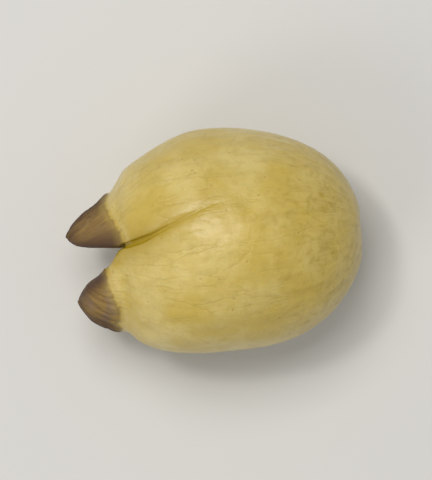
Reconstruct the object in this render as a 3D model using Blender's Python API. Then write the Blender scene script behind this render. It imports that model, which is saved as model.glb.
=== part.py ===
"""A dried, peeled lotus seed, lying on its side. Metres, +Z up, tips towards -X, base towards +X.

The kernel is one solid. Its two halves grow together from the round base to the fork, and part there
into two brown-skinned beaks. A station is a distance in millimetres from the base end, along the seed.
"""

import math

import bmesh
import bpy
import numpy as np
from mathutils import Vector

MM = 0.001

# Sizes of the kernel, in millimetres
FULLEST_STATION = 7.8
FORK_STATION = 12.35
UPPER_TIP_STATION = 15.2
LOWER_TIP_STATION = 14.95
BASE_POWER = 2.2
RESTING_CUT = 0.42
RESTING_BLEND = 0.16

# Outlines as (station, distance from the middle line), from the fullest station to past the tip
UPPER_FLANK = (
    (7.8, 5.92), (9.4, 5.6), (10.6, 5.12), (11.5, 4.66), (12.2, 4.06),
    (12.8, 3.24), (13.4, 2.66), (14.3, 2.1), (15.2, 1.3),
)
LOWER_FLANK = (
    (7.8, 5.88), (9.6, 5.72), (11.1, 5.26), (12.1, 4.68),
    (12.8, 4.14), (13.5, 3.82), (14.3, 3.34), (14.95, 2.7),
)
HALF_DEPTH = (
    (7.8, 5.72), (9.4, 5.5), (10.8, 4.88), (11.9, 4.0),
    (12.7, 3.1), (13.4, 2.55), (14.3, 1.75), (15.2, 0.85),
)

# Inner faces of the beaks, measured the same way from the seam outwards
SEAM_OFFSET = 0.3
UPPER_INNER_FACE = (
    (FORK_STATION, SEAM_OFFSET), (13.2, 0.38), (14.1, 0.53), (15.2, 0.84),
)
LOWER_INNER_FACE = (
    (FORK_STATION, -SEAM_OFFSET), (13.1, 0.5), (13.85, 1.14), (14.45, 1.52), (14.95, 1.84),
)
UPPER_NOSE = 0.5
LOWER_NOSE = 0.62
INNER_DISH_SHARE = 0.14
DISH_RISE = 0.7
CLEFT_DEEPENING = 0.9

# The seam between the halves: its roll about the length, and the groove with round lips that it lies in
SEAM_ROLL_DEG = 18.5
SEAM_ROLL_START = 6.2
SEAM_ROLL_END = 13.2
TIP_ROLL_DEG = -4.0
GROOVE_START = 4.6
GROOVE_AT_FORK = 0.5
GROOVE_TIP_SHARE = 0.16
LIP_WIDTH = 0.08

# Shares by which drying pulls the body out of round, in two, three and five waves round it
WIDE_SHRINKAGE = 0.016
CLOSE_SHRINKAGE = 0.011
FINE_SHRINKAGE = 0.006

# Where the brown skin on the beaks ends
SKIN_EDGE_STATION = 12.95

# Mesh density
BODY_STATIONS = 40
BEAK_STATIONS = 14
ARC_STEPS = 36
INNER_STEPS = 9
ARC_CROWDING = 0.62

FLESH_COLOUR = (0.6, 0.45, 0.11, 1.0)
SKIN_COLOUR = (0.19, 0.11, 0.035, 1.0)


def smooth_step(start, end, value):
    """0 before start, 1 past end, with an even rise between."""
    share = np.clip((value - start) / (end - start), 0.0, 1.0)
    return share * share * (3.0 - 2.0 * share)


def flowing_curve(points, station):
    """A smooth curve through the points, level at the first one."""
    knots = np.array([point[0] for point in points])
    values = np.array([point[1] for point in points])
    slopes = np.gradient(values, knots)
    slopes[0] = 0.0
    span = np.clip(np.searchsorted(knots, station, side="right") - 1, 0, len(knots) - 2)
    width = knots[span + 1] - knots[span]
    share = np.clip((station - knots[span]) / width, 0.0, 1.0)
    start_part = (1 + 2 * share) * (1 - share) ** 2 * values[span]
    end_part = share ** 2 * (3 - 2 * share) * values[span + 1]
    leaving = share * (1 - share) ** 2 * width * slopes[span]
    arriving = share ** 2 * (share - 1) * width * slopes[span + 1]
    return start_part + end_part + leaving + arriving


def outline(points, station):
    """Half-width at a station: rounded at the base, then along the curve."""
    to_base = np.clip(1.0 - station / FULLEST_STATION, 0.0, 1.0)
    base = (1.0 - to_base ** BASE_POWER) ** (1.0 / BASE_POWER)
    return float(base * flowing_curve(points, station))


def nose(station, tip, radius):
    """Share of the section that is left as a beak rounds off at its tip."""
    past = np.clip((station - (tip - radius)) / radius, 0.0, 1.0)
    return math.sqrt(1.0 - past * past)


def seam_roll(station):
    """Roll of the seam plane about the seed's length, in radians."""
    back = 1.0 - smooth_step(SEAM_ROLL_START, SEAM_ROLL_END, station)
    tip = smooth_step(SEAM_ROLL_END, UPPER_TIP_STATION, station)
    return math.radians(SEAM_ROLL_DEG * back + TIP_ROLL_DEG * tip)


def groove_depth(station, depth):
    """Depth of the groove along the seam at a station, where the section is that deep."""
    body = GROOVE_AT_FORK * smooth_step(GROOVE_START, FORK_STATION, station) ** 2
    return min(body, GROOVE_TIP_SHARE * depth)


def dried_form(station, angle):
    """Share by which the shrunken flesh stands proud of, or below, the plain outline."""
    body = smooth_step(0.0, 3.5, station) * (1.0 - smooth_step(10.5, 13.0, station))
    wide = WIDE_SHRINKAGE * np.sin(2 * angle + 2.1 + 0.25 * station)
    close = CLOSE_SHRINKAGE * np.sin(3 * angle - 1.0 - 0.55 * station)
    fine = FINE_SHRINKAGE * np.sin(5 * angle + 0.8 * station)
    return 1.0 + body * (wide + close + fine)


def arc_shares(steps):
    """Places round half a section, from one seam to the other, crowded towards both."""
    even = np.linspace(-1.0, 1.0, steps + 1)
    return (1 - ARC_CROWDING) * even + ARC_CROWDING * np.sin(even * math.pi / 2)


def outer_arc(station, side, face, flank, depth, shares):
    """Across and depth coordinates of one half's outside, from its lower seam to its upper one."""
    angle = shares * math.pi / 2
    over_lip = np.minimum((1.0 - np.abs(shares)) / LIP_WIDTH, 1.0)
    groove = groove_depth(station, depth) * (1.0 - np.sqrt(over_lip * (2.0 - over_lip)))
    across = side * (face + (flank - face) * np.cos(angle))
    deep = (depth - groove) * np.sin(angle)
    form = dried_form(station, np.arctan2(deep, across))
    return across * form, deep * form


def inner_face(station, side, face, flank, edge):
    """Across and depth coordinates of a beak's inside, from its upper edge to its lower one."""
    shares = np.linspace(1.0, -1.0, INNER_STEPS + 1)[1:-1]
    hollow = INNER_DISH_SHARE * smooth_step(FORK_STATION, FORK_STATION + DISH_RISE, station)
    dish = hollow * (flank - face) * (1.0 - shares ** 2)
    return side * (face + dish), edge * shares


def placed(station, across, deep):
    """Points of a section, rolled with the seam, with the underside pressed flat."""
    roll = seam_roll(station)
    y = across * math.cos(roll) + deep * math.sin(roll)
    z = deep * math.cos(roll) - across * math.sin(roll)
    floor = RESTING_CUT - HALF_DEPTH[0][1]
    near = np.clip(0.5 + 0.5 * (floor - z) / RESTING_BLEND, 0.0, 1.0)
    z = z * (1.0 - near) + floor * near + RESTING_BLEND * near * (1.0 - near)
    x = np.zeros_like(y) - station
    return np.column_stack((x, y, z))


def body_ring(station):
    """A whole section between the base and the fork, seam points at index 0 and ARC_STEPS."""
    shares = arc_shares(ARC_STEPS)
    depth = outline(HALF_DEPTH, station)
    seam = SEAM_OFFSET * smooth_step(0.0, GROOVE_START, station)
    upper = outer_arc(station, 1, seam, outline(UPPER_FLANK, station), depth, shares)
    lower = outer_arc(station, -1, -seam, outline(LOWER_FLANK, station), depth, shares[::-1])
    across = np.concatenate((upper[0], lower[0][1:-1]))
    deep = np.concatenate((upper[1], lower[1][1:-1]))
    return placed(station, across, deep)


def beak_ring(station, side, tip, radius, flanks, faces):
    """A closed section of one beak: its outside, then its inner face."""
    flank = outline(flanks, station)
    face = flowing_curve(faces, station)
    depth = outline(HALF_DEPTH, station)
    shares = arc_shares(ARC_STEPS) * side
    outside = outer_arc(station, side, face, flank, depth, shares)
    edge = outside[1][-1]
    inside = inner_face(station, side, face, flank, edge)
    across = np.concatenate((outside[0], inside[0]))
    deep = np.concatenate((outside[1], inside[1]))
    left = nose(station, tip, radius)
    middle = side * (flank + face) / 2
    ring = placed(station, middle + (across - middle) * left, deep * left)
    sunk = CLEFT_DEEPENING * (1.0 - smooth_step(FORK_STATION, tip - radius, station))
    ring[ARC_STEPS + 1:, 0] += sunk * (1.0 - (inside[1] / edge) ** 2)
    return ring


def add_ring(mesh, ring):
    return [mesh.verts.new(point * MM) for point in ring]


def bridge(mesh, first, second):
    """Quads between two closed rings of as many points each."""
    count = len(first)
    for i in range(count):
        following = (i + 1) % count
        mesh.faces.new((first[i], first[following], second[following], second[i]))


def close_end(mesh, ring, point):
    """A fan from a ring to the point that closes it."""
    pole = mesh.verts.new(point * MM)
    for i, vertex in enumerate(ring):
        mesh.faces.new((vertex, ring[(i + 1) % len(ring)], pole))


def add_body(mesh):
    """Everything from the base to the fork. Returns the last ring, which both beaks start from."""
    turns = np.linspace(0.0, 1.0, BODY_STATIONS + 1)[1:]
    stations = FORK_STATION * (1.0 - np.cos(math.pi * turns)) / 2
    rings = [add_ring(mesh, body_ring(station)) for station in stations]
    for first, second in zip(rings, rings[1:]):
        bridge(mesh, first, second)
    close_end(mesh, rings[0], np.zeros(3))
    return rings[-1]


def add_cleft_floor(mesh, fork):
    """Points across the bottom of the cleft, from the upper seam point to the lower one."""
    top = np.array(fork[ARC_STEPS].co) / MM
    bottom = np.array(fork[0].co) / MM
    shares = np.linspace(0.0, 1.0, INNER_STEPS + 1)[1:-1]
    points = top + (bottom - top) * shares[:, None]
    points[:, 0] += CLEFT_DEEPENING * (1.0 - (2 * shares - 1) ** 2)
    return [mesh.verts.new(point * MM) for point in points]


def add_beak(mesh, start, side, tip, radius, flanks, faces):
    """One beak, from the fork and the cleft's floor to its tip."""
    turns = np.linspace(0.0, 1.0, BEAK_STATIONS + 1)[1:-1]
    stations = FORK_STATION + (tip - FORK_STATION) * np.sin(turns * math.pi / 2)
    rings = [start]
    for station in stations:
        rings.append(add_ring(mesh, beak_ring(station, side, tip, radius, flanks, faces)))
    for first, second in zip(rings, rings[1:]):
        bridge(mesh, first, second)
    middle = side * (flanks[-1][1] + faces[-1][1]) / 2
    tip_point = placed(tip, np.array([middle]), np.array([0.0]))[0]
    close_end(mesh, rings[-1], tip_point)


def stand_on_origin(mesh):
    """Moves the seed so that its box stands centred on the origin."""
    points = np.array([vertex.co for vertex in mesh.verts])
    lowest = points.min(axis=0)
    highest = points.max(axis=0)
    shift = np.array([-(lowest[0] + highest[0]) / 2, -(lowest[1] + highest[1]) / 2, -lowest[2]])
    for vertex in mesh.verts:
        vertex.co += Vector(shift)
    return shift[0]


def principled(name, colour, roughness):
    material = bpy.data.materials.new(name)
    material.use_nodes = True
    shader = material.node_tree.nodes["Principled BSDF"]
    shader.inputs["Base Color"].default_value = colour
    shader.inputs["Roughness"].default_value = roughness
    shader.inputs["Metallic"].default_value = 0.0
    return material


def make_kernel():
    """The seed kernel as one closed object."""
    mesh = bmesh.new()
    fork = add_body(mesh)
    floor = add_cleft_floor(mesh, fork)
    upper_start = fork[:ARC_STEPS + 1] + floor
    lower_start = fork[ARC_STEPS:] + [fork[0]] + floor[::-1]
    add_beak(mesh, upper_start, 1, UPPER_TIP_STATION, UPPER_NOSE, UPPER_FLANK, UPPER_INNER_FACE)
    add_beak(mesh, lower_start, -1, LOWER_TIP_STATION, LOWER_NOSE, LOWER_FLANK, LOWER_INNER_FACE)
    base_x = stand_on_origin(mesh)
    bmesh.ops.recalc_face_normals(mesh, faces=mesh.faces)
    for face in mesh.faces:
        station = (base_x - face.calc_center_median().x) / MM
        face.material_index = int(station > SKIN_EDGE_STATION)
    data = bpy.data.meshes.new("lotus_seed_kernel")
    mesh.to_mesh(data)
    mesh.free()
    data.materials.append(principled("dried_seed_flesh", FLESH_COLOUR, 0.5))
    data.materials.append(principled("brown_seed_skin", SKIN_COLOUR, 0.62))
    data.shade_smooth()
    kernel = bpy.data.objects.new("lotus_seed_kernel", data)
    bpy.context.scene.collection.objects.link(kernel)
    return kernel


def main():
    for old in list(bpy.data.objects):
        bpy.data.objects.remove(old)
    make_kernel()


main()
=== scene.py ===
"""A dried, peeled lotus seed: the kernel with its seam, its parted tips and the brown skin left on them.

Lengths inside the geometry and material trees are in millimetres. A station is a distance from the round
base end, along the seed, as in the part's source.
"""

import math

import bpy
import numpy as np
from mathutils import Matrix, Vector


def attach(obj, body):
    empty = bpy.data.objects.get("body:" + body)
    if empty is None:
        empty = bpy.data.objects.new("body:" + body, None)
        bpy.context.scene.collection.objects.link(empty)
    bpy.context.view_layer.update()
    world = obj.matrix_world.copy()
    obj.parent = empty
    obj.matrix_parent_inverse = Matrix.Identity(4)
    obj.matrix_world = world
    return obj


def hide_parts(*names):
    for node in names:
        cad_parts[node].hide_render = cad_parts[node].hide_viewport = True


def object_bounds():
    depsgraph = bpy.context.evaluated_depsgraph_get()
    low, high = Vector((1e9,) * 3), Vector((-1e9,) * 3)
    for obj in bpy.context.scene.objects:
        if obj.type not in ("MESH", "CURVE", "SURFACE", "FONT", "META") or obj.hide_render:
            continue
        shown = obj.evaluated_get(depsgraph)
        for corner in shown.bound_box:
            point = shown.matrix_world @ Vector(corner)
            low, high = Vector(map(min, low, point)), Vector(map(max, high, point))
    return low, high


bl_info = {
    "name": "Lotus seed",
    "version": (1, 0, 0),
    "blender": (4, 5, 0),
    "location": "View3D > Sidebar > Lotus seed",
    "description": "Builds a dried lotus seed with its seam, parted tips and brown skin",
    "category": "Add Mesh",
}

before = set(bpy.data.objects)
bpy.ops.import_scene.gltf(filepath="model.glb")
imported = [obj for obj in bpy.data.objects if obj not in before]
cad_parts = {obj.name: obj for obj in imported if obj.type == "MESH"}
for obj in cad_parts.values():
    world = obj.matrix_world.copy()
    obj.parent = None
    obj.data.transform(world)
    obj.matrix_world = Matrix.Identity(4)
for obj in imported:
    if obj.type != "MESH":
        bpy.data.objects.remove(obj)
CAD_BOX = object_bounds()

MM = 0.001
KERNEL = "lotus_seed_kernel"

# Form of the kernel, in millimetres, as in the part's source
FULLEST_STATION = 7.8
FORK_STATION = 12.35
LAST_STATION = 15.2
BASE_POWER = 2.2
RESTING_CUT = 0.42
RESTING_BLEND = 0.16
UPPER_FLANK = (
    (7.8, 5.92), (9.4, 5.6), (10.6, 5.12), (11.5, 4.66), (12.2, 4.06),
    (12.8, 3.24), (13.4, 2.66), (14.3, 2.1), (15.2, 1.3),
)
LOWER_FLANK = (
    (7.8, 5.88), (9.6, 5.72), (11.1, 5.26), (12.1, 4.68),
    (12.8, 4.14), (13.5, 3.82), (14.3, 3.34), (14.95, 2.7),
)
HALF_DEPTH = (
    (7.8, 5.72), (9.4, 5.5), (10.8, 4.88), (11.9, 4.0),
    (12.7, 3.1), (13.4, 2.55), (14.3, 1.75), (15.2, 0.85),
)
SEAM_OFFSET = 0.3
UPPER_INNER_FACE = (
    (FORK_STATION, SEAM_OFFSET), (13.2, 0.38), (14.1, 0.53), (15.2, 0.84),
)
LOWER_INNER_FACE = (
    (FORK_STATION, -SEAM_OFFSET), (13.1, 0.5), (13.85, 1.14), (14.45, 1.52), (14.95, 1.84),
)
BEAKS = (
    {"side": 1.0, "tip": 15.2, "nose": 0.5, "flank": UPPER_FLANK, "face": UPPER_INNER_FACE},
    {"side": -1.0, "tip": 14.95, "nose": 0.62, "flank": LOWER_FLANK, "face": LOWER_INNER_FACE},
)
INNER_DISH_SHARE = 0.14
DISH_RISE = 0.7
CLEFT_DEEPENING = 0.9
SEAM_ROLL_DEG = 18.5
SEAM_ROLL_START = 6.2
SEAM_ROLL_END = 13.2
TIP_ROLL_DEG = -4.0
GROOVE_START = 4.6
GROOVE_AT_FORK = 0.5
GROOVE_TIP_SHARE = 0.16
LIP_WIDTH = 0.08
WIDE_SHRINKAGE = 0.016
CLOSE_SHRINKAGE = 0.011
FINE_SHRINKAGE = 0.006
FLOOR_LEVEL = RESTING_CUT - HALF_DEPTH[0][1]

# Where the brown skin ends on the beaks, in millimetres
SKIN_EDGE_STATION = 12.95
SKIN_EDGE_AT_SEAM = 0.15
SKIN_EDGE_BY_SIDE = 0.5
SKIN_EDGE_WANDER = 0.75
SKIN_EDGE_FRAY = 0.12
SKIN_OVER_RIM = 0.16

# Relief that isn't a setting, in millimetres: the narrowing behind the skin, and the scar at the base
WAIST_STATION = 12.55
WAIST_REACH = 0.35
WAIST_DEPTH = 0.07
SCAR_REACH = 0.02
SCAR_DEPTH = 0.03

# Where the split in the seam opens, and its width as a share of the way from the seam to a half's middle
CRACK_START = 9.5
CRACK_FULL = 12.2
CRACK_WIDTH = 0.013

# Patterns that run from base to tip, and the small number that keeps them off a division by 0
MERIDIAN_RADIUS = 5.0
MERIDIAN_STRETCH = 0.22
POLE_GUARD = 0.001

# Mesh density
BODY_ROWS = 160
BEAK_ROWS = 52
ARC_STEPS = 170
INNER_STEPS = 50
ARC_CROWDING = 0.55
CURVE_SAMPLES = 40
CURVE_REACH = 8.0
WELD_GAP = 0.002

# Finish that both the flesh and the skin share
SEED_IOR = 1.45
BUMP_STRENGTH = 0.8

# Stage, in metres, and the picture's size in pixels
FLOOR_HALF = 0.6
LIGHT_COLOUR = (1.0, 0.975, 0.93)
ROOM_COLOUR = (0.93, 0.96, 1.0, 1.0)
AIM = (0.0, 0.0, 0.005)
LENS = 300.0
PICTURE_WIDTH = 432
PICTURE_HEIGHT = 480


class Wire:
    """A node's output socket that Python arithmetic can be done on, in a shader or a geometry tree."""

    def __init__(self, graph, socket):
        self.graph = graph
        self.socket = socket

    def __add__(self, other):
        return self.graph.math("ADD", self, other)

    def __sub__(self, other):
        return self.graph.math("SUBTRACT", self, other)

    def __rsub__(self, other):
        return self.graph.math("SUBTRACT", other, self)

    def __mul__(self, other):
        return self.graph.math("MULTIPLY", self, other)

    def __truediv__(self, other):
        return self.graph.math("DIVIDE", self, other)

    def __pow__(self, other):
        return self.graph.math("POWER", self, other)

    def __neg__(self):
        return self.graph.math("MULTIPLY", self, -1.0)

    __radd__ = __add__
    __rmul__ = __mul__


class Graph:
    """A node tree under construction."""

    def __init__(self, tree):
        self.tree = tree

    def node(self, kind, settings=None, sockets=None, output=0):
        """Adds a node: settings first, then its sockets' values or links. Returns one output, or several."""
        made = self.tree.nodes.new(kind)
        for name, value in (settings or {}).items():
            if name == "curve":
                draw_curve(made.mapping, value)
            else:
                setattr(made, name, value)
        for key, value in (sockets or {}).items():
            for one in value if isinstance(value, list) else [value]:
                if isinstance(one, Wire):
                    self.tree.links.new(one.socket, made.inputs[key])
                else:
                    made.inputs[key].default_value = one
        if output is None:
            return None
        if isinstance(output, list):
            return [Wire(self, made.outputs[key]) for key in output]
        return Wire(self, made.outputs[output])

    def math(self, operation, *values):
        return self.node("ShaderNodeMath", {"operation": operation}, dict(enumerate(values)))

    def scaled(self, vector, factor):
        return self.node("ShaderNodeVectorMath", {"operation": "SCALE"}, {"Vector": vector, "Scale": factor})

    def shifted(self, vector, offset):
        return self.node("ShaderNodeVectorMath", {"operation": "ADD"}, {0: vector, 1: offset})

    def smooth(self, value, start, end):
        """0 before start, 1 past end, with an even rise between."""
        sockets = {"Value": value, "From Min": start, "From Max": end}
        return self.node("ShaderNodeMapRange", {"interpolation_type": "SMOOTHSTEP"}, sockets)

    def bell(self, value, middle, width):
        """1 at the middle, falling away evenly on both sides."""
        away = (value - middle) / width
        return self.math("EXPONENT", -(away * away))

    def mixed(self, share, first, second):
        """A number between two others."""
        return first + (second - first) * share

    def split(self, vector):
        return self.node("ShaderNodeSeparateXYZ", None, {"Vector": vector}, ["X", "Y", "Z"])

    def joined(self, x, y, z):
        return self.node("ShaderNodeCombineXYZ", None, {"X": x, "Y": y, "Z": z})

    def noise(self, vector, scale, detail=2.0, roughness=0.5, distortion=0.0):
        sockets = {
            "Vector": vector,
            "Scale": scale,
            "Detail": detail,
            "Roughness": roughness,
            "Distortion": distortion,
        }
        return self.node("ShaderNodeTexNoise", None, sockets)

    def waves(self, *settings):
        """Noise that swings about 0, between -1 and 1."""
        return (self.noise(*settings) - 0.5) * 2.0

    def cells(self, vector, scale, feature="F1"):
        """Distance to the nearest cell's middle, or to the nearest border between cells."""
        return self.node("ShaderNodeTexVoronoi", {"feature": feature}, {"Vector": vector, "Scale": scale})

    def tinted(self, share, first, second):
        """A colour between two others."""
        return self.node("ShaderNodeMix", {"data_type": "RGBA"}, {0: share, 6: first, 7: second}, 2)

    def curve(self, station, points):
        """The smooth curve through (station, distance) points, level before the first and past the last."""
        first = points[0][0]
        span = points[-1][0] - first
        stations = np.linspace(first, points[-1][0], CURVE_SAMPLES)
        heights = flowing_curve(points, stations)
        places = [((s - first) / span, h / CURVE_REACH) for s, h in zip(stations, heights)]
        share = (station - first) / span
        return self.node("ShaderNodeFloatCurve", {"curve": places}, {"Value": share}) * CURVE_REACH


def draw_curve(mapping, places):
    """Puts a curve node's points where they are wanted."""
    mapping.clip_min_y = -1.0
    points = mapping.curves[0].points
    for x, y in places[1:-1]:
        points.new(float(x), float(y))
    for point, place in zip(points, places):
        point.location = place
    mapping.update()


def flowing_curve(points, station):
    """A smooth curve through the points, level at the first one, as in the part's source."""
    knots = np.array([point[0] for point in points])
    values = np.array([point[1] for point in points])
    slopes = np.gradient(values, knots)
    slopes[0] = 0.0
    span = np.clip(np.searchsorted(knots, station, side="right") - 1, 0, len(knots) - 2)
    width = knots[span + 1] - knots[span]
    share = np.clip((station - knots[span]) / width, 0.0, 1.0)
    start_part = (1 + 2 * share) * (1 - share) ** 2 * values[span]
    end_part = share ** 2 * (3 - 2 * share) * values[span + 1]
    leaving = share * (1 - share) ** 2 * width * slopes[span]
    arriving = share ** 2 * (share - 1) * width * slopes[span + 1]
    return start_part + end_part + leaving + arriving


class SeedForm(bpy.types.PropertyGroup):
    """Sizes of the relief that drying and peeling leave on the kernel."""

    crack_depth: bpy.props.FloatProperty(
        name="Crack depth", description="Depth of the split at the bottom of the seam, at the fork",
        default=0.16 * MM, min=0.0, unit="LENGTH", precision=6,
    )
    lump_height: bpy.props.FloatProperty(
        name="Lump height", description="Height of the soft unevenness of the dried flesh",
        default=0.09 * MM, min=0.0, unit="LENGTH", precision=6,
    )
    pebble_height: bpy.props.FloatProperty(
        name="Pebble height", description="Height of the small bumps all over the flesh",
        default=0.045 * MM, min=0.0, unit="LENGTH", precision=6,
    )
    wrinkle_height: bpy.props.FloatProperty(
        name="Wrinkle height", description="Height of the fine wrinkles that run along the seed",
        default=0.035 * MM, min=0.0, unit="LENGTH", precision=6,
    )
    dent_depth: bpy.props.FloatProperty(
        name="Dent depth", description="Depth of the scattered dents in the flesh",
        default=0.06 * MM, min=0.0, unit="LENGTH", precision=6,
    )
    skin_thickness: bpy.props.FloatProperty(
        name="Skin thickness", description="Thickness of the brown skin left on the beaks",
        default=0.06 * MM, min=0.0, unit="LENGTH", precision=6,
    )
    skin_fold: bpy.props.FloatProperty(
        name="Skin fold", description="Height of the folds in the brown skin",
        default=0.18 * MM, min=0.0, unit="LENGTH", precision=6,
    )
    pattern: bpy.props.IntProperty(
        name="Pattern", description="Fixed number that chooses the lumps, wrinkles and ragged edges",
        default=3,
    )


class SeedFinish(bpy.types.PropertyGroup):
    """Colours and gloss of the kernel."""

    khaki: bpy.props.FloatVectorProperty(
        name="Khaki flesh", description="Colour of most of the flesh",
        default=(0.61, 0.45, 0.09), subtype="COLOR", min=0.0, max=1.0,
    )
    cream: bpy.props.FloatVectorProperty(
        name="Cream flesh", description="Colour of the paler patches of flesh",
        default=(0.7, 0.555, 0.19), subtype="COLOR", min=0.0, max=1.0,
    )
    # Olive is the flesh's own mottling, and it also paints shade in the flesh's hollows, along the seam's
    # sides and deep in the cleft.
    olive: bpy.props.FloatVectorProperty(
        name="Olive mottle", description="Colour of the mottling and of the seam's sides",
        default=(0.42, 0.285, 0.024), subtype="COLOR", min=0.0, max=1.0,
    )
    # The seam shade is painted shade at the bottom of the split seam.
    seam: bpy.props.FloatVectorProperty(
        name="Seam shade", description="Colour at the bottom of the seam",
        default=(0.48, 0.33, 0.008), subtype="COLOR", min=0.0, max=1.0,
    )
    thin_skin: bpy.props.FloatVectorProperty(
        name="Thin skin", description="Colour of the skin where it is thin and the flesh shows through",
        default=(0.38, 0.24, 0.055), subtype="COLOR", min=0.0, max=1.0,
    )
    skin: bpy.props.FloatVectorProperty(
        name="Brown skin", description="Colour of the skin left on the beaks",
        default=(0.27, 0.158, 0.046), subtype="COLOR", min=0.0, max=1.0,
    )
    dark_skin: bpy.props.FloatVectorProperty(
        name="Dark skin", description="Colour of the skin at its edges, folds and tips",
        default=(0.06, 0.023, 0.014), subtype="COLOR", min=0.0, max=1.0,
    )
    skin_bloom: bpy.props.FloatVectorProperty(
        name="Skin bloom", description="Colour of the grey bloom on the skin",
        default=(0.24, 0.165, 0.13), subtype="COLOR", min=0.0, max=1.0,
    )
    flesh_roughness: bpy.props.FloatProperty(
        name="Flesh roughness", description="Roughness of the waxy flesh", default=0.36, min=0.0, max=1.0,
        subtype="FACTOR",
    )
    skin_roughness: bpy.props.FloatProperty(
        name="Skin roughness", description="Roughness of the papery skin", default=0.6, min=0.0, max=1.0,
        subtype="FACTOR",
    )


class SeedStage(bpy.types.PropertyGroup):
    """Floor, light and camera."""

    floor_colour: bpy.props.FloatVectorProperty(
        name="Floor", description="Colour of the plain floor",
        default=(0.7, 0.69, 0.665), subtype="COLOR", min=0.0, max=1.0,
    )
    key_power: bpy.props.FloatProperty(
        name="Key light", description="Power of the soft light above the seed's upper left",
        default=0.33, min=0.0, unit="POWER",
    )
    side_power: bpy.props.FloatProperty(
        name="Side light", description="Power of the weaker light from the lower left",
        default=0.075, min=0.0, unit="POWER",
    )
    spark_power: bpy.props.FloatProperty(
        name="Spark light", description="Power of the small light above that shows the flesh's waxy sheen",
        default=0.09, min=0.0, unit="POWER",
    )
    fill_strength: bpy.props.FloatProperty(
        name="Fill light", description="Strength of the even light from all round", default=0.34, min=0.0,
    )
    view_width: bpy.props.FloatProperty(
        name="View width", description="Width of floor that the picture takes in",
        default=22.4 * MM, min=0.001, unit="LENGTH", precision=6,
    )
    camera_turn: bpy.props.FloatProperty(
        name="Camera turn", description="Turn of the camera about its line of sight, straight down",
        default=math.radians(-6.17), subtype="ANGLE",
    )


def half_width(graph, points, station):
    """Width of one half at a station: rounded at the base, then along its flank."""
    to_base = graph.math("MAXIMUM", 1.0 - station / FULLEST_STATION, 0.0)
    rounded = (1.0 - to_base ** BASE_POWER) ** (1.0 / BASE_POWER)
    return graph.curve(station, points) * rounded


def rolled(graph, station, across, deep):
    """Width and height of a section's point, turned with the seam about the seed's length."""
    back = 1.0 - graph.smooth(station, SEAM_ROLL_START, SEAM_ROLL_END)
    tip = graph.smooth(station, SEAM_ROLL_END, LAST_STATION)
    roll = back * math.radians(SEAM_ROLL_DEG) + tip * math.radians(TIP_ROLL_DEG)
    cosine = graph.math("COSINE", roll)
    sine = graph.math("SINE", roll)
    return across * cosine + deep * sine, deep * cosine - across * sine


def shrunken(graph, station, across, deep):
    """A section's point, drawn out of round as the flesh dries."""
    angle = graph.math("ARCTAN2", deep, across)
    wide = graph.math("SINE", angle * 2.0 + 2.1 + station * 0.25) * WIDE_SHRINKAGE
    close = graph.math("SINE", angle * 3.0 - 1.0 - station * 0.55) * CLOSE_SHRINKAGE
    fine = graph.math("SINE", angle * 5.0 + station * 0.8) * FINE_SHRINKAGE
    body = graph.smooth(station, 0.0, 3.5) * (1.0 - graph.smooth(station, 10.5, 13.0))
    form = 1.0 + body * (wide + close + fine)
    return across * form, deep * form


def outside(graph, station, side, face, flank, depth, share):
    """One half's outer side, at a share from its lower seam, -1, to its upper one, 1, and its rim's depth."""
    angle = share * (math.pi / 2)
    rise = graph.smooth(station, GROOVE_START, FORK_STATION)
    groove = graph.math("MINIMUM", rise * rise * GROOVE_AT_FORK, depth * GROOVE_TIP_SHARE)
    from_seam = graph.math("MINIMUM", (1.0 - graph.math("ABSOLUTE", share)) / LIP_WIDTH, 1.0)
    cut = groove * (1.0 - graph.math("SQRT", from_seam * (2.0 - from_seam)))
    across = side * (face + (flank - face) * graph.math("COSINE", angle))
    return across, (depth - cut) * graph.math("SINE", angle), depth - groove


def crowded(graph, share):
    """An even share from -1 to 1, moved so that the rows crowd towards both seams."""
    return share * (1.0 - ARC_CROWDING) + graph.math("SINE", share * (math.pi / 2)) * ARC_CROWDING


def kept(graph, mesh, name, value, kind="FLOAT"):
    """A mesh with a value of each point kept under a name."""
    settings = {"data_type": kind, "domain": "POINT"}
    sockets = {"Geometry": mesh, "Name": name, "Value": value}
    return graph.node("GeometryNodeStoreNamedAttribute", settings, sockets)


def grid(graph, rows, columns):
    """A flat sheet of points, with each one's share along it and across it."""
    sockets = {"Size X": 1.0, "Size Y": 1.0, "Vertices X": rows + 1, "Vertices Y": columns + 1}
    sheet = graph.node("GeometryNodeMeshGrid", None, sockets)
    x, y, _ = graph.split(graph.node("GeometryNodeInputPosition"))
    return sheet, x + 0.5, y + 0.5


def bent(graph, sheet, station, across, deep, sunk, marks):
    """A sheet bent to its place on the kernel, with its marks kept on its points."""
    across, deep = shrunken(graph, station, across, deep)
    y, z = rolled(graph, station, across, deep)
    for name, value in {"station": station, **marks}.items():
        sheet = kept(graph, sheet, name, value)
    place = graph.joined(sunk - station, y, z)
    return graph.node("GeometryNodeSetPosition", None, {"Geometry": sheet, "Position": place})


def body_sheet(graph):
    """The whole surface from the base to the fork."""
    sheet, along, round_it = grid(graph, BODY_ROWS, 2 * ARC_STEPS)
    station = (1.0 - graph.math("COSINE", along * math.pi)) * (FORK_STATION / 2)
    quarter = round_it * 4.0 - 2.0
    share = crowded(graph, 1.0 - graph.math("ABSOLUTE", quarter))
    is_lower = graph.math("GREATER_THAN", quarter, 0.0)
    side = 1.0 - is_lower * 2.0
    depth = half_width(graph, HALF_DEPTH, station)
    upper = half_width(graph, UPPER_FLANK, station)
    lower = half_width(graph, LOWER_FLANK, station)
    seam = side * graph.smooth(station, 0.0, GROOVE_START) * SEAM_OFFSET
    flank = graph.mixed(is_lower, upper, lower)
    across, deep, _ = outside(graph, station, side, seam, flank, depth, share)
    marks = {"seam_gap": 1.0 - graph.math("ABSOLUTE", share), "side": side, "inside": 0.0}
    return bent(graph, sheet, station, across, deep, 0.0, marks)


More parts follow.
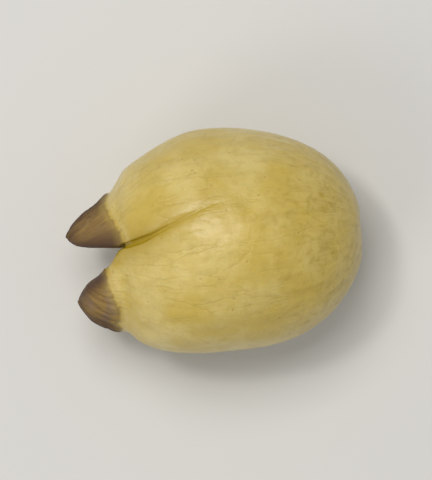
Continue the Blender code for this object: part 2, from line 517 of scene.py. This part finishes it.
def beak_sheet(graph, side, tip, nose, flank, face):
    """One beak: its outer side and its inner face, from the fork to its tip."""
    columns = ARC_STEPS + INNER_STEPS
    outer_part = ARC_STEPS / columns
    sheet, along, round_it = grid(graph, BEAK_ROWS, columns)
    station = graph.math("SINE", along * (math.pi / 2)) * (tip - FORK_STATION) + FORK_STATION
    # The test stands a quarter of a column past the rim, so that the rim's own points count as outer ones
    is_inner = graph.math("GREATER_THAN", round_it, outer_part + 0.25 / columns)
    even = graph.math("MINIMUM", round_it * (2.0 / outer_part) - 1.0, 1.0)
    share = crowded(graph, even)
    depth = half_width(graph, HALF_DEPTH, station)
    outer = half_width(graph, flank, station)
    inner = graph.curve(station, face)
    across, deep, edge = outside(graph, station, side, inner, outer, depth, share)
    inner_share = 1.0 - (round_it - outer_part) * (2.0 / (1.0 - outer_part))
    from_rim = 1.0 - inner_share * inner_share
    dish = graph.smooth(station, FORK_STATION, FORK_STATION + DISH_RISE) * INNER_DISH_SHARE
    across = graph.mixed(is_inner, across, side * (inner + dish * (outer - inner) * from_rim))
    deep = graph.mixed(is_inner, deep, edge * inner_share)
    past = graph.math("MAXIMUM", (station - (tip - nose)) / nose, 0.0)
    left = graph.math("SQRT", graph.math("MAXIMUM", 1.0 - past * past, 0.0))
    middle = side * (outer + inner) / 2.0
    across = middle + (across - middle) * left
    sunk = (1.0 - graph.smooth(station, FORK_STATION, tip - nose)) * CLEFT_DEEPENING * from_rim * is_inner
    marks = {
        "seam_gap": 1.0 - graph.math("ABSOLUTE", share),
        "side": side,
        "inside": is_inner * (1.0 - graph.math("ABSOLUTE", inner_share)) * edge * left,
    }
    made = bent(graph, sheet, station, across, deep * left, sunk, marks)
    if side > 0:
        return made
    return graph.node("GeometryNodeFlipFaces", None, {"Mesh": made})


def mark(graph, name):
    """A value that was kept on the mesh's points."""
    return graph.node("GeometryNodeInputNamedAttribute", {"data_type": "FLOAT"}, {"Name": name})


def meridian_place(graph, station):
    """A place that changes fast round the seed and slowly along it, for patterns from base to tip."""
    _, y, z = graph.split(graph.node("GeometryNodeInputPosition"))
    away = graph.math("SQRT", y * y + z * z + POLE_GUARD)
    return graph.joined(station * MERIDIAN_STRETCH, y / away * MERIDIAN_RADIUS, z / away * MERIDIAN_RADIUS)


def from_skin_edge(graph, place, station, side, seam_gap):
    """How far a point lies past the ragged edge of the brown skin, towards the tip."""
    by_seam = graph.bell(seam_gap, 0.0, 0.3)
    wander = (graph.noise(place, 0.9, 2.0) - 0.5) * SKIN_EDGE_WANDER
    fray = (graph.noise(place, 3.2, 2.0) - 0.5) * SKIN_EDGE_FRAY
    at_seam = by_seam * (side * SKIN_EDGE_BY_SIDE + SKIN_EDGE_AT_SEAM)
    return station - SKIN_EDGE_STATION + at_seam - (wander + fray)


def flesh_relief(graph, inputs, place, meridian, station):
    """Height of the bare flesh's unevenness: lumps, pebbling, wrinkles along it and scattered dents."""
    lumps = graph.waves(place, 0.3, 2.0) * inputs["Lump Height"]
    pebbles = graph.waves(place, 0.95, 3.0, 0.55) * inputs["Pebble Height"]
    off_pole = graph.smooth(station, 0.1, 1.4)
    wrinkles = graph.waves(meridian, 0.95, 4.0, 0.62, 0.5) * inputs["Wrinkle Height"] * off_pole
    shape = 1.0 - graph.smooth(graph.cells(place, 0.42), 0.06, 0.34)
    chosen = graph.smooth(graph.noise(place, 0.37, 0.0), 0.5, 0.6)
    return lumps + pebbles + wrinkles - shape * chosen * inputs["Dent Depth"]


def seam_relief(graph, inputs, station, seam_gap, inside):
    """Height of the split that the two halves dried apart along, from its faint end to the fork."""
    before_fork = 1.0 - graph.smooth(station, FORK_STATION - 0.1, FORK_STATION + 0.4)
    out_of_cleft = 1.0 - graph.smooth(inside, 0.0, 0.3)
    open_part = graph.smooth(station, CRACK_START, CRACK_FULL) * before_fork * out_of_cleft
    return -(graph.bell(seam_gap, 0.0, CRACK_WIDTH) * open_part * inputs["Crack Depth"])


def soft_folds(graph, meridian):
    """Noise between 0 and 1 that the soft folds of the dried skin follow."""
    return graph.noise(meridian, 1.7, 4.0, 0.6, 0.3)


def creases(graph, meridian):
    """1 along the sharp creases of the dried skin, which run towards the tip, and 0 between them."""
    wave = graph.noise(meridian, 1.25, 4.0, 0.55, 0.7) - 0.5
    return 1.0 - graph.smooth(graph.math("ABSOLUTE", wave), 0.0, 0.09)


def skin_relief(graph, inputs, meridian, reach, seam_gap):
    """Height of the brown skin: a lifted edge, then soft folds and sharp creases that run to the tip."""
    folds = (soft_folds(graph, meridian) - 0.5) * 1.4 + creases(graph, meridian) * 0.8
    edge = graph.smooth(reach, -0.02, 0.06) + graph.bell(reach, 0.08, 0.07) * 0.5
    off_rim = graph.smooth(seam_gap, 0.0, 0.3) * 0.92 + 0.08
    folded = graph.smooth(reach, 0.0, 0.3) * off_rim * inputs["Skin Fold"]
    return edge * inputs["Skin Thickness"] + folds * folded


def relief(graph, inputs, mesh):
    """The mesh with what stands on or sinks into its surface, and marks of it for the material."""
    pattern = graph.scaled((7.3, 3.1, 5.7), inputs["Pattern"])
    place = graph.shifted(graph.node("GeometryNodeInputPosition"), pattern)
    names = ("station", "seam_gap", "side", "inside")
    station, seam_gap, side, inside = (mark(graph, name) for name in names)
    meridian = graph.shifted(meridian_place(graph, station), pattern)
    past_edge = from_skin_edge(graph, place, station, side, seam_gap)
    reach = graph.math("MINIMUM", past_edge, SKIN_OVER_RIM - inside)
    bare = 1.0 - graph.smooth(reach, -0.3, 0.0)
    flesh = flesh_relief(graph, inputs, place, meridian, station)
    waist = graph.bell(station, WAIST_STATION, WAIST_REACH) * graph.smooth(seam_gap, 0.05, 0.25) * WAIST_DEPTH
    scar = graph.bell(station, 0.0, SCAR_REACH) * SCAR_DEPTH
    height = flesh * bare + seam_relief(graph, inputs, station, seam_gap, inside) - waist - scar
    height = height + skin_relief(graph, inputs, meridian, reach, seam_gap)
    for name, value in {"skin_reach": reach, "past_skin_edge": past_edge, "flesh_height": flesh}.items():
        mesh = kept(graph, mesh, name, value)
    mesh = kept(graph, mesh, "meridian", meridian, "FLOAT_VECTOR")
    offset = graph.scaled(graph.node("GeometryNodeInputNormal"), height)
    return graph.node("GeometryNodeSetPosition", None, {"Geometry": mesh, "Offset": offset})


def pressed_flat(graph, mesh):
    """The mesh with its underside pressed flat where the seed rests."""
    x, y, z = graph.split(graph.node("GeometryNodeInputPosition"))
    near = (FLOOR_LEVEL - z) * (0.5 / RESTING_BLEND) + 0.5
    near = graph.math("MINIMUM", graph.math("MAXIMUM", near, 0.0), 1.0)
    level = graph.mixed(near, z, FLOOR_LEVEL) + near * (1.0 - near) * RESTING_BLEND
    place = graph.joined(x, y, level)
    return graph.node("GeometryNodeSetPosition", None, {"Geometry": mesh, "Position": place})


KERNEL_INPUTS = {
    "Crack Depth": "NodeSocketFloat",
    "Lump Height": "NodeSocketFloat",
    "Pebble Height": "NodeSocketFloat",
    "Wrinkle Height": "NodeSocketFloat",
    "Dent Depth": "NodeSocketFloat",
    "Skin Thickness": "NodeSocketFloat",
    "Skin Fold": "NodeSocketFloat",
    "Pattern": "NodeSocketInt",
    "Material": "NodeSocketMaterial",
}


def kernel_tree():
    """The geometry tree that makes the whole kernel from its sizes."""
    tree = bpy.data.node_groups.new(KERNEL, "GeometryNodeTree")
    for name, kind in KERNEL_INPUTS.items():
        tree.interface.new_socket(name, in_out="INPUT", socket_type=kind)
    tree.interface.new_socket("Kernel", in_out="OUTPUT", socket_type="NodeSocketGeometry")
    graph = Graph(tree)
    names = list(KERNEL_INPUTS)
    inputs = dict(zip(names, graph.node("NodeGroupInput", output=names)))
    sheets = [body_sheet(graph)] + [beak_sheet(graph, **beak) for beak in BEAKS]
    mesh = graph.node("GeometryNodeJoinGeometry", None, {"Geometry": sheets})
    mesh = graph.node("GeometryNodeMergeByDistance", None, {"Geometry": mesh, "Distance": WELD_GAP})
    mesh = pressed_flat(graph, relief(graph, inputs, mesh))
    mesh = graph.node("GeometryNodeRealizeInstances", None, {"Geometry": mesh})
    mesh = graph.node("GeometryNodeSetMaterial", None, {"Geometry": mesh, "Material": inputs["Material"]})
    graph.node("NodeGroupOutput", None, {"Kernel": mesh}, None)
    return tree


def made_mesh(name, tree, values):
    """The plain mesh that a geometry tree makes from its inputs' values."""
    carrier = bpy.data.objects.new(name + "_carrier", bpy.data.meshes.new(name + "_carrier"))
    bpy.context.scene.collection.objects.link(carrier)
    modifier = carrier.modifiers.new("Shape", "NODES")
    modifier.node_group = tree
    sockets = {item.name: item.identifier for item in tree.interface.items_tree if item.in_out == "INPUT"}
    for key, value in values.items():
        modifier[sockets[key]] = value
    evaluated = carrier.evaluated_get(bpy.context.evaluated_depsgraph_get())
    mesh = bpy.data.meshes.new_from_object(evaluated)
    mesh.name = name
    bpy.data.objects.remove(carrier)
    return mesh


def opaque(*colours):
    """Colours as a node's socket takes them, with nothing showing through."""
    return [(*colour, 1.0) for colour in colours]


def pores(graph, spot):
    """1 in the middle of the flesh's tiny pits, 0 away from them."""
    chosen = graph.smooth(graph.noise(spot, 0.9, 2.0), 0.42, 0.62)
    return (1.0 - graph.smooth(graph.cells(spot, 1.7), 0.05, 0.15)) * chosen


def wrinkle_net(graph, spot, meridian):
    """1 along a net of hair-thin wrinkles, drawn out from base to tip, 0 between them."""
    sway = graph.scaled(graph.node("ShaderNodeTexNoise", None, {"Vector": spot, "Scale": 0.8}, "Color"), 0.5)
    lines = graph.cells(graph.shifted(meridian, sway), 1.5, "DISTANCE_TO_EDGE")
    chosen = graph.smooth(graph.noise(spot, 0.55, 2.0), 0.38, 0.6)
    return (1.0 - graph.smooth(lines, 0.0, 0.07)) * chosen


def flesh_colour(graph, finish, spot, meridian, station, seam_gap, inside, height):
    """Khaki and cream flesh with olive mottling, more of it towards the base, and olive painted shade in its
    hollows, along the seam and deeper in the cleft.
    """
    khaki, cream, olive, seam = opaque(finish.khaki, finish.cream, finish.olive, finish.seam)
    to_base = 1.0 - graph.smooth(station, 0.5, 6.0)
    pale = graph.smooth(graph.noise(spot, 0.42, 4.0, 0.5), 0.36, 0.68) * (1.0 - to_base * 0.6)
    colour = graph.tinted(pale, khaki, cream)
    streak = graph.smooth(graph.noise(meridian, 1.5, 5.0, 0.65, 0.3), 0.46, 0.7)
    mottle = graph.smooth(graph.noise(spot, 2.2, 6.0, 0.68), 0.44, 0.68)
    # Painted shade: olive where the flesh's relief sinks, strongest in its deepest hollows.
    painted_hollow_shade = 1.0 - graph.smooth(height, -0.12, 0.0)
    # The mix holds the flesh's real streaks and mottling together with the painted shade of its hollows.
    mottled = (streak * 0.25 + mottle * 0.3 + painted_hollow_shade * 0.2) * (to_base * 1.1 + 0.75)
    colour = graph.tinted(mottled, colour, olive)
    marks = graph.math("MAXIMUM", pores(graph, spot) * 0.5, wrinkle_net(graph, spot, meridian) * 0.22)
    colour = graph.tinted(marks, colour, olive)
    within = graph.smooth(inside, 0.0, 0.5)
    # Painted shade along the seam: olive on its sides and the seam shade colour at the bottom of the split,
    # stronger towards the fork and kept out of the cleft.
    seam_shade_along = graph.smooth(station, 5.0, 8.5) * 0.45 + graph.smooth(station, 8.5, 12.3) * 0.55
    by_seam = seam_shade_along * (1.0 - within)
    colour = graph.tinted(graph.bell(seam_gap, 0.0, 0.11) * by_seam * 0.9, colour, olive)
    colour = graph.tinted(graph.bell(seam_gap, 0.0, 0.03) * by_seam * 0.85, colour, seam)
    # Painted shade: olive that deepens further inside the cleft between the beaks.
    return graph.tinted(within * graph.smooth(inside, 0.2, 1.6) * 0.3, colour, olive)


def skin_colour(graph, finish, spot, meridian, station, seam_gap, side, reach, past_edge):
    """Brown skin: thin and tan at its edge, with painted shade that browns the hollows of its folds, darker
    on its keels, rims and tips, with a grey bloom.
    """
    thin, brown, dark, bloom = opaque(finish.thin_skin, finish.skin, finish.dark_skin, finish.skin_bloom)
    # Painted shade: the hollows of the soft folds are pushed towards the full brown.
    painted_hollow_shade = 1.0 - graph.smooth(soft_folds(graph, meridian), 0.36, 0.58)
    depth = graph.smooth(past_edge, 0.0, 0.9)
    colour = graph.tinted(depth * 0.65 + painted_hollow_shade * 0.35 - creases(graph, meridian) * 0.5, thin, brown)
    misty = graph.smooth(graph.noise(spot, 1.3, 3.0), 0.42, 0.62) * (0.32 - side * 0.2)
    colour = graph.tinted(misty, colour, bloom)
    keel = graph.bell(seam_gap, 1.0, 0.5) * 0.95 + graph.bell(seam_gap, 0.0, 0.2) * 0.9
    border = graph.bell(reach, 0.05, 0.07) * 0.5
    tip = graph.smooth(station, 13.9, 15.0) * 0.7
    streak = graph.smooth(graph.noise(meridian, 5.5, 4.0, 0.65), 0.5, 0.7) * 0.45
    shade = graph.math("MAXIMUM", graph.math("MAXIMUM", keel, border), graph.math("MAXIMUM", tip, streak))
    return graph.tinted(graph.math("MINIMUM", shade, 1.0), colour, dark)


def bumped(graph, height):
    """The normal of a surface with fine relief of this height."""
    return graph.node("ShaderNodeBump", None, {"Strength": BUMP_STRENGTH, "Distance": MM, "Height": height})


def kernel_material(finish):
    """Waxy, mottled flesh under the seam's shade and the brown skin of the beaks."""
    material = bpy.data.materials.new("dried_lotus_seed")
    material.use_nodes = True
    tree = material.node_tree
    tree.nodes.clear()
    graph = Graph(tree)
    spot = graph.scaled(graph.node("ShaderNodeTexCoord", output="Object"), 1.0 / MM)
    names = ("station", "seam_gap", "side", "inside", "skin_reach", "past_skin_edge", "flesh_height")
    station, seam_gap, side, inside, reach, past_edge, height = (
        graph.node("ShaderNodeAttribute", {"attribute_name": name}, output="Fac") for name in names
    )
    meridian = graph.node("ShaderNodeAttribute", {"attribute_name": "meridian"}, output="Vector")
    cream, thin_skin = opaque(finish.cream, finish.thin_skin)

    flesh = flesh_colour(graph, finish, spot, meridian, station, seam_gap, inside, height)
    skin = skin_colour(graph, finish, spot, meridian, station, seam_gap, side, reach, past_edge)
    frayed = reach + (graph.noise(spot, 6.0, 3.0) - 0.5) * 0.1
    cover = graph.smooth(frayed, -0.06, 0.08) * (graph.smooth(past_edge, 0.0, 0.5) * 0.3 + 0.7)
    near_skin = graph.smooth(reach, -1.6, -0.02)
    fleck = graph.smooth(graph.noise(spot, 3.6, 5.0, 0.68) + near_skin * 0.06, 0.66, 0.7) * near_skin * 0.55
    stain = graph.smooth(reach, -0.5, 0.0) * 0.2
    flesh = graph.tinted(graph.bell(reach, -0.2, 0.13) * 0.5, flesh, cream)
    flesh = graph.tinted(graph.math("MAXIMUM", fleck, stain), flesh, thin_skin)

    gloss = (graph.noise(spot, 3.2, 2.0) - 0.5) * 0.14
    marks = pores(graph, spot) * 0.03 + wrinkle_net(graph, spot, meridian) * 0.014
    grain = graph.noise(spot, 5.0, 6.0, 0.7) * 0.03 + graph.noise(meridian, 3.4, 5.0, 0.65, 0.4) * 0.04
    waxy = {
        "Base Color": flesh,
        "Roughness": gloss + finish.flesh_roughness,
        "Normal": bumped(graph, grain - marks),
        "IOR": SEED_IOR,
        "Subsurface Weight": 0.22,
        "Subsurface Radius": (1.0, 0.62, 0.25),
        "Subsurface Scale": 0.6 * MM,
        "Coat Weight": 0.28,
        "Coat Roughness": 0.28,
    }
    papery = graph.noise(meridian, 4.2, 5.0, 0.7, 0.3) * 0.07 + graph.noise(spot, 6.0, 4.0, 0.65) * 0.03
    dry = {
        "Base Color": skin,
        "Roughness": gloss + finish.skin_roughness,
        "Normal": bumped(graph, papery),
        "IOR": SEED_IOR,
    }
    shaders = {
        0: cover,
        1: graph.node("ShaderNodeBsdfPrincipled", None, waxy),
        2: graph.node("ShaderNodeBsdfPrincipled", None, dry),
    }
    shader = graph.node("ShaderNodeMixShader", None, shaders)
    graph.node("ShaderNodeOutputMaterial", None, {"Surface": shader}, None)
    return material


def middle_line():
    """Where the seed's middle line starts at the base, and the level of the floor below it."""
    points = [vertex.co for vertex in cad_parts[KERNEL].data.vertices]
    base = max(points, key=lambda point: point.x)
    return Vector((base.x, base.y, -FLOOR_LEVEL * MM))


class LOTUS_SEED_OT_kernel(bpy.types.Operator):
    """Builds the kernel, with its relief and finish, in place of the plain solid"""

    bl_idname = "lotus_seed.kernel"
    bl_label = "Build kernel"

    def execute(self, context):
        form = context.scene.lotus_seed_form
        material = kernel_material(context.scene.lotus_seed_finish)
        values = {
            "Crack Depth": form.crack_depth / MM,
            "Lump Height": form.lump_height / MM,
            "Pebble Height": form.pebble_height / MM,
            "Wrinkle Height": form.wrinkle_height / MM,
            "Dent Depth": form.dent_depth / MM,
            "Skin Thickness": form.skin_thickness / MM,
            "Skin Fold": form.skin_fold / MM,
            "Pattern": form.pattern,
            "Material": material,
        }
        mesh = made_mesh("dried_kernel", kernel_tree(), values)
        if not mesh.vertices:
            raise RuntimeError("the kernel's tree made no mesh")
        mesh.transform(Matrix.Translation(middle_line()) @ Matrix.Scale(MM, 4))
        mesh.shade_smooth()
        kernel = bpy.data.objects.new("dried_kernel", mesh)
        context.scene.collection.objects.link(kernel)
        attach(kernel, "root")
        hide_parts(KERNEL)
        return {"FINISHED"}


def aimed(thing, place, target):
    """Puts a light or camera at a place, looking at a target."""
    thing.location = place
    thing.rotation_euler = (Vector(target) - Vector(place)).to_track_quat("-Z", "Y").to_euler()


class LOTUS_SEED_OT_stage(bpy.types.Operator):
    """Builds the plain floor, the soft light and the camera that looks straight down"""

    bl_idname = "lotus_seed.stage"
    bl_label = "Build stage"

    def execute(self, context):
        stage = context.scene.lotus_seed_stage
        self.make_floor(context, stage)
        self.make_light(context, stage)
        self.make_camera(context, stage)
        return {"FINISHED"}

    def make_floor(self, context, stage):
        mesh = bpy.data.meshes.new("floor")
        corners = [(FLOOR_HALF * x, FLOOR_HALF * y, 0.0) for x, y in ((-1, -1), (1, -1), (1, 1), (-1, 1))]
        mesh.from_pydata(corners, [], [(0, 1, 2, 3)])
        material = bpy.data.materials.new("plain_floor")
        material.use_nodes = True
        shader = material.node_tree.nodes["Principled BSDF"]
        shader.inputs["Base Color"].default_value = (*stage.floor_colour, 1.0)
        shader.inputs["Roughness"].default_value = 0.8
        mesh.materials.append(material)
        floor = bpy.data.objects.new("floor", mesh)
        context.scene.collection.objects.link(floor)

    def make_light(self, context, stage):
        for name, power, size, place in (
            ("key", stage.key_power, 0.12, (-0.03, 0.08, 0.25)),
            ("side", stage.side_power, 0.08, (-0.13, -0.1, 0.16)),
            ("spark", stage.spark_power, 0.03, (-0.07, 0.06, 0.24)),
        ):
            light = bpy.data.lights.new(name, "AREA")
            light.shape = "SQUARE"
            light.size = size
            light.energy = power
            light.color = LIGHT_COLOUR
            holder = bpy.data.objects.new(name, light)
            context.scene.collection.objects.link(holder)
            aimed(holder, place, AIM)
        world = bpy.data.worlds.new("soft_room")
        world.use_nodes = True
        background = world.node_tree.nodes["Background"]
        background.inputs["Color"].default_value = ROOM_COLOUR
        background.inputs["Strength"].default_value = stage.fill_strength
        context.scene.world = world

    def make_camera(self, context, stage):
        camera = bpy.data.cameras.new("camera")
        camera.lens = LENS
        camera.sensor_width = 36.0
        camera.clip_start = 0.001
        camera.clip_end = 10.0
        low, high = CAD_BOX
        middle = (low + high) / 2
        # The picture is taller than wide, so the sensor's width spans its height
        view_height = stage.view_width * PICTURE_HEIGHT / PICTURE_WIDTH
        distance = view_height * camera.lens / camera.sensor_width
        camera_object = bpy.data.objects.new("camera", camera)
        camera_object.location = (middle.x, middle.y, middle.z + distance)
        camera_object.rotation_euler = (0.0, 0.0, stage.camera_turn)
        context.scene.collection.objects.link(camera_object)
        context.scene.camera = camera_object
        context.scene.view_settings.view_transform = "Standard"


class LOTUS_SEED_PT_panel(bpy.types.Panel):
    """Sizes, colours and build steps of the lotus seed"""

    bl_idname = "LOTUS_SEED_PT_panel"
    bl_label = "Lotus seed"
    bl_space_type = "VIEW_3D"
    bl_region_type = "UI"
    bl_category = "Lotus seed"

    def draw(self, context):
        for title, settings, operator in (
            ("Form", context.scene.lotus_seed_form, "lotus_seed.kernel"),
            ("Finish", context.scene.lotus_seed_finish, None),
            ("Stage", context.scene.lotus_seed_stage, "lotus_seed.stage"),
        ):
            box = self.layout.box()
            box.label(text=title)
            for name in settings.__annotations__:
                box.prop(settings, name)
            if operator:
                box.operator(operator)


CLASSES = (
    SeedForm,
    SeedFinish,
    SeedStage,
    LOTUS_SEED_OT_kernel,
    LOTUS_SEED_OT_stage,
    LOTUS_SEED_PT_panel,
)


def register():
    for one in CLASSES:
        bpy.utils.register_class(one)
    bpy.types.Scene.lotus_seed_form = bpy.props.PointerProperty(type=SeedForm)
    bpy.types.Scene.lotus_seed_finish = bpy.props.PointerProperty(type=SeedFinish)
    bpy.types.Scene.lotus_seed_stage = bpy.props.PointerProperty(type=SeedStage)


def unregister():
    del bpy.types.Scene.lotus_seed_form
    del bpy.types.Scene.lotus_seed_finish
    del bpy.types.Scene.lotus_seed_stage
    for one in reversed(CLASSES):
        bpy.utils.unregister_class(one)


def main():
    """Builds everything."""
    register()
    bpy.ops.lotus_seed.kernel()
    bpy.ops.lotus_seed.stage()


if __name__ == "__main__":
    main()
